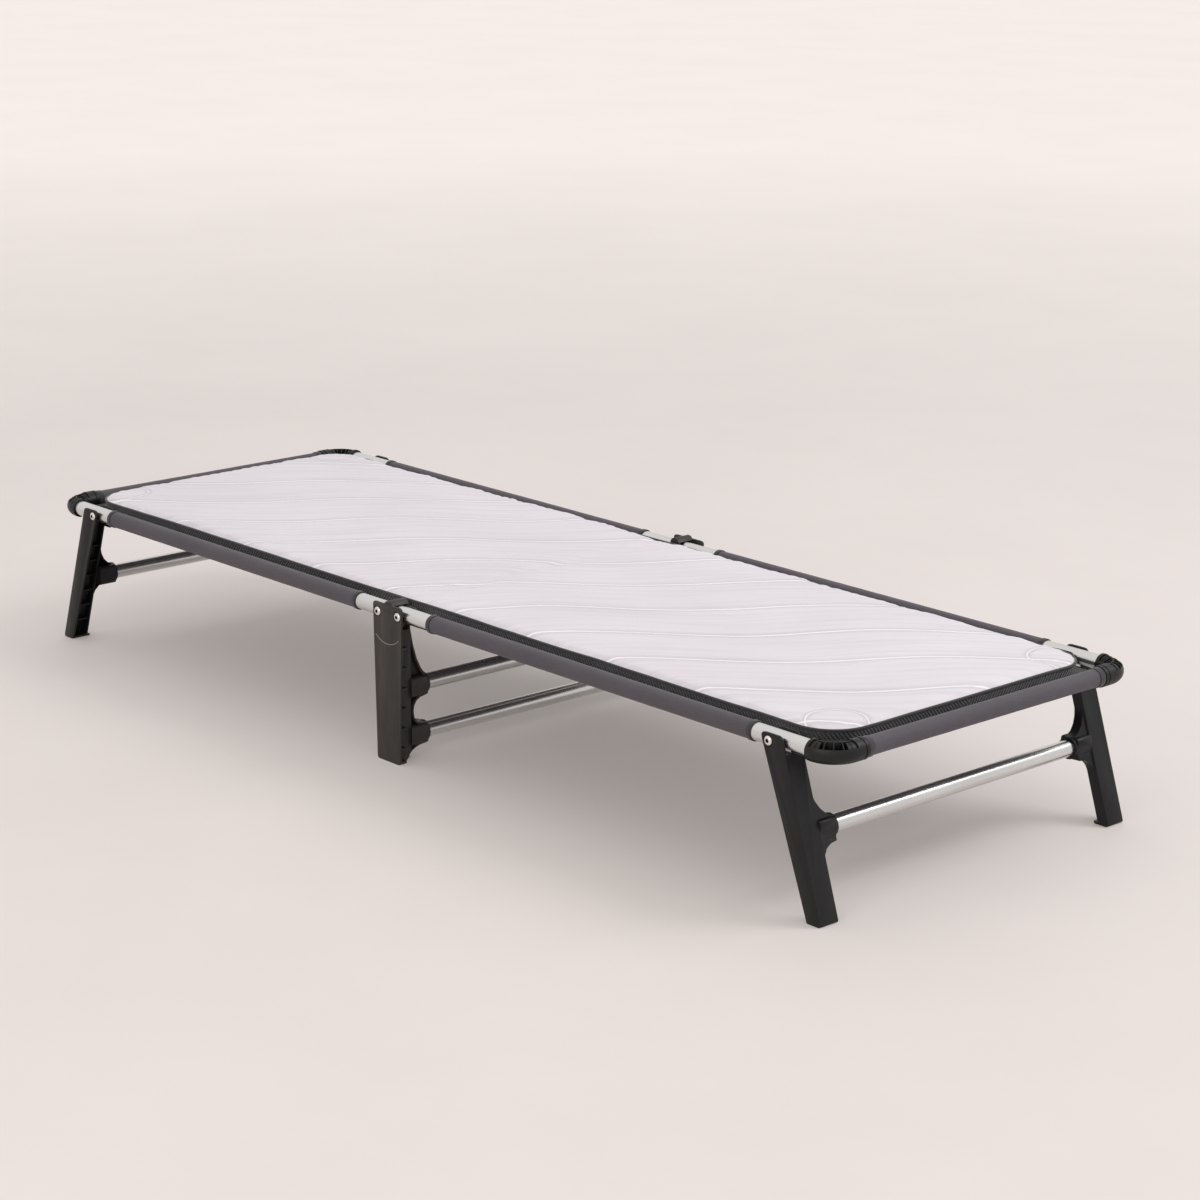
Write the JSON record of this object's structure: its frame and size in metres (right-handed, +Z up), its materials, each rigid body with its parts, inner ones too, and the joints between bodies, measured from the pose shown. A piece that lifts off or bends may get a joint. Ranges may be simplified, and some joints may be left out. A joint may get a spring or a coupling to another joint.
{
  "type": "folding cot",
  "caption": "Low folding cot with a tube frame, stretched cloth deck and thin mattress; the halves fold up about a centre leg and the end legs fold inward.",
  "frame": {"origin": "on the floor below the middle of the cot", "axes": "+X towards the foot end, +Y to the sleeper's left, +Z up"},
  "size_m": [1.8516, 0.634, 0.254],
  "materials": {
    "tube_aluminium": "satin anodised tube",
    "moulded_black": "fine moulded texture, black",
    "woven_cloth": "plain polyester weave, dark grey",
    "hem_tape": "folded black tape",
    "plated_steel": "bright plated",
    "mattress_cover": "pale knitted cover with a black spacer-mesh side band"
  },
  "bodies": {
    "centre": {"centre_leg_right": "moulded_black", "centre_leg_left": "moulded_black", "centre_crossbar_upper": "tube_aluminium", "centre_crossbar_lower": "tube_aluminium", "foot_pivot_bolt_right": "plated_steel", "foot_pivot_bolt_left": "plated_steel", "head_pivot_bolt_right": "plated_steel", "head_pivot_bolt_left": "plated_steel", "foot_pivot_nut_right": "plated_steel", "foot_pivot_nut_left": "plated_steel", "head_pivot_nut_right": "plated_steel", "head_pivot_nut_left": "plated_steel"},
    "foot_half": {"foot_side_rail_right": "tube_aluminium", "foot_side_rail_left": "tube_aluminium", "foot_rail_plug_right": "moulded_black", "foot_rail_plug_left": "moulded_black", "foot_corner_right": "moulded_black", "foot_corner_left": "moulded_black", "foot_sleeve_right": "woven_cloth", "foot_sleeve_left": "woven_cloth", "foot_inner_hem_right": "hem_tape", "foot_inner_hem_left": "hem_tape", "foot_outer_hem_right": "hem_tape", "foot_outer_hem_left": "hem_tape", "foot_end_rail": "tube_aluminium", "foot_end_sleeve": "woven_cloth", "foot_deck": "woven_cloth", "foot_mattress": "mattress_cover"},
    "head_half": {"head_side_rail_right": "tube_aluminium", "head_side_rail_left": "tube_aluminium", "head_rail_plug_right": "moulded_black", "head_rail_plug_left": "moulded_black", "head_corner_right": "moulded_black", "head_corner_left": "moulded_black", "head_sleeve_right": "woven_cloth", "head_sleeve_left": "woven_cloth", "head_inner_hem_right": "hem_tape", "head_inner_hem_left": "hem_tape", "head_outer_hem_right": "hem_tape", "head_outer_hem_left": "hem_tape", "head_end_rail": "tube_aluminium", "head_end_sleeve": "woven_cloth", "head_deck": "woven_cloth", "head_mattress": "mattress_cover"},
    "foot_legs": {"foot_leg_right": "moulded_black", "foot_leg_left": "moulded_black", "foot_leg_bolt_right": "plated_steel", "foot_leg_bolt_left": "plated_steel", "foot_leg_nut_right": "plated_steel", "foot_leg_nut_left": "plated_steel", "foot_crossbar": "tube_aluminium"},
    "head_legs": {"head_leg_right": "moulded_black", "head_leg_left": "moulded_black", "head_leg_bolt_right": "plated_steel", "head_leg_bolt_left": "plated_steel", "head_leg_nut_right": "plated_steel", "head_leg_nut_left": "plated_steel", "head_crossbar": "tube_aluminium"}
  },
  "joints": [
    {"name": "foot_half_fold", "type": "hinge", "parent": "centre", "child": "foot_half", "pos_m": [0.024, 0, 0.234], "axis": [0, -1, 0], "range_deg": [0, 90]},
    {"name": "head_half_fold", "type": "hinge", "parent": "centre", "child": "head_half", "pos_m": [-0.024, 0, 0.234], "axis": [0, 1, 0], "range_deg": [0, 90]},
    {"name": "foot_legs_fold", "type": "hinge", "parent": "foot_half", "child": "foot_legs", "pos_m": [0.808, 0, 0.234], "axis": [0, 1, 0], "range_deg": [0, 100]},
    {"name": "head_legs_fold", "type": "hinge", "parent": "head_half", "child": "head_legs", "pos_m": [-0.808, 0, 0.234], "axis": [0, -1, 0], "range_deg": [0, 100]}
  ]
}
